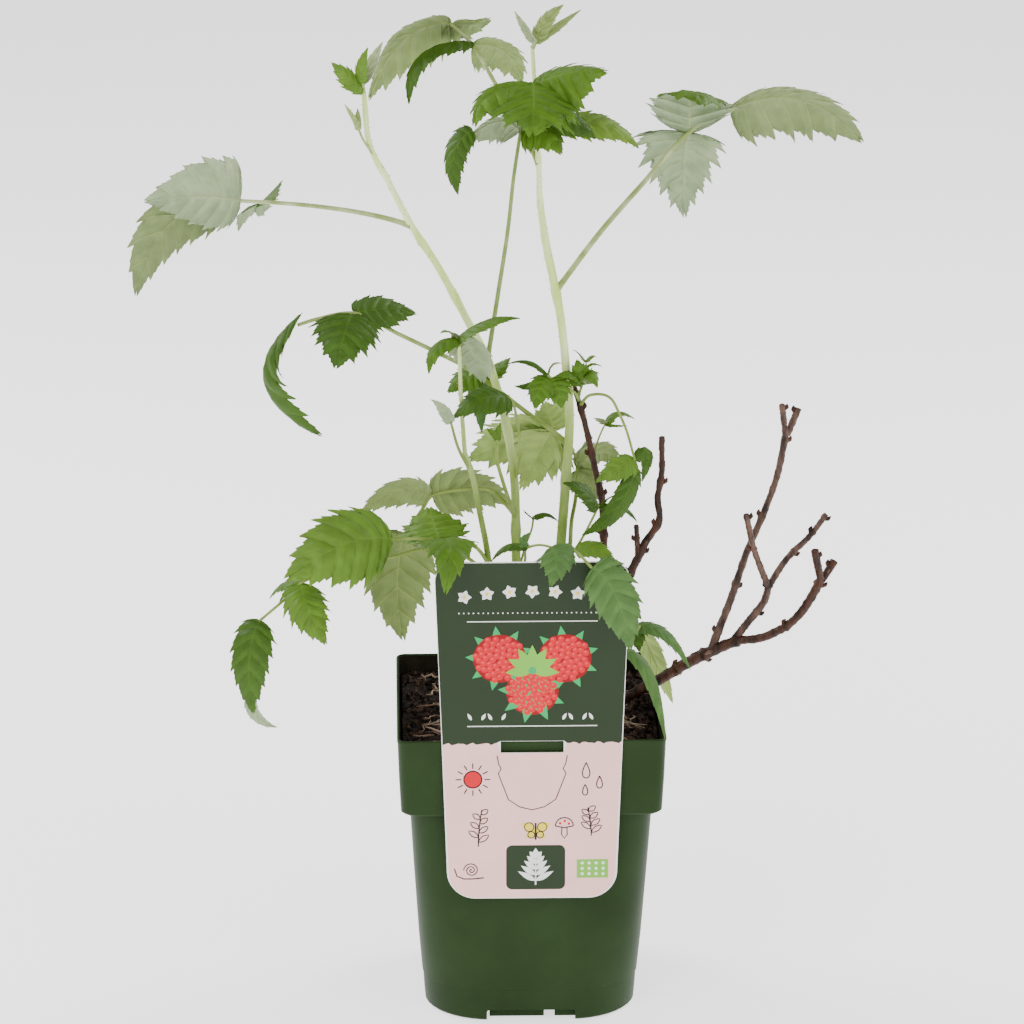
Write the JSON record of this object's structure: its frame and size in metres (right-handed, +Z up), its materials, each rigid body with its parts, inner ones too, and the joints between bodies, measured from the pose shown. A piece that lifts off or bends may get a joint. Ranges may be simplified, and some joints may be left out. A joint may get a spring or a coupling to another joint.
{
  "type": "potted raspberry plant",
  "caption": "Young raspberry plant with tall green canes, brown cut-back canes and toothed compound leaves, in a square plastic nursery pot with a hanging label.",
  "frame": {"origin": "middle of the pot's underside, on the ground", "axes": "+Z up, +X to the right seen from the label side, +Y away from the label"},
  "size_m": [0.4122, 0.1691, 0.5734],
  "materials": {
    "pot_plastic": "dark green recycled plastic, satin",
    "compost": "dark moist compost crumbs",
    "label_card": "printed plastic card, satin",
    "green_cane": "smooth light green skin, a little swollen at the nodes",
    "brown_cane": "peeling brown bark",
    "leaf_green": "matt upper side of a leaf, sunken veins",
    "leaf_underside": "pale felted underside of a leaf, raised veins"
  },
  "bodies": {
    "root": {"pot": "pot_plastic", "soil": "compost", "label": "label_card", "cane_left": "green_cane", "cane_right": "green_cane", "shoot": "green_cane", "shoot_stem": "green_cane", "old_cane_middle": "brown_cane", "old_cane_right": "brown_cane", "old_cane_right_stub": "brown_cane", "old_cane_low": "brown_cane", "old_branch_tall": "brown_cane", "old_branch_tall_left": "brown_cane", "old_branch_tall_right": "brown_cane", "old_branch_middle": "brown_cane", "old_branch_middle_left": "brown_cane", "old_branch_middle_right": "brown_cane", "old_branch_far": "brown_cane", "old_branch_far_left": "brown_cane", "old_branch_far_right": "brown_cane", "leaf_high_left": "leaf_underside", "leaf_tip_left": "leaf_green", "bud_left": "leaf_underside", "leaf_top_arch": "leaf_underside", "leaf_top_front": "leaf_green", "leaf_top_low": "leaf_green", "leaf_tip_right": "leaf_underside", "leaf_high_right": "leaf_underside", "leaf_mid_left": "leaf_green", "leaf_shoot_tip": "leaf_green", "leaf_shoot_bud": "leaf_underside", "leaf_mid_dark": "leaf_green", "leaf_mid_behind": "leaf_green", "leaf_node_left": "leaf_green", "leaf_node_top": "leaf_green", "leaf_hanging_right": "leaf_green", "leaf_small_trio": "leaf_green", "leaf_back_left": "leaf_underside", "leaf_back_right": "leaf_underside", "young_shoot": "leaf_underside", "leaf_low_left_back": "leaf_underside", "leaf_low_left_front": "leaf_green", "leaf_low_left_far": "leaf_green", "leaf_over_label_right": "leaf_green", "leaf_over_label_middle": "leaf_green", "leaf_crown_right": "leaf_green", "leaf_crown_middle": "leaf_green", "leaf_crown_dark": "leaf_green", "leaf_low_right": "leaf_green", "leaf_low_right_back": "leaf_underside", "leaf_rear_left": "leaf_green", "leaf_rear_right": "leaf_green"}
  },
  "joints": []
}
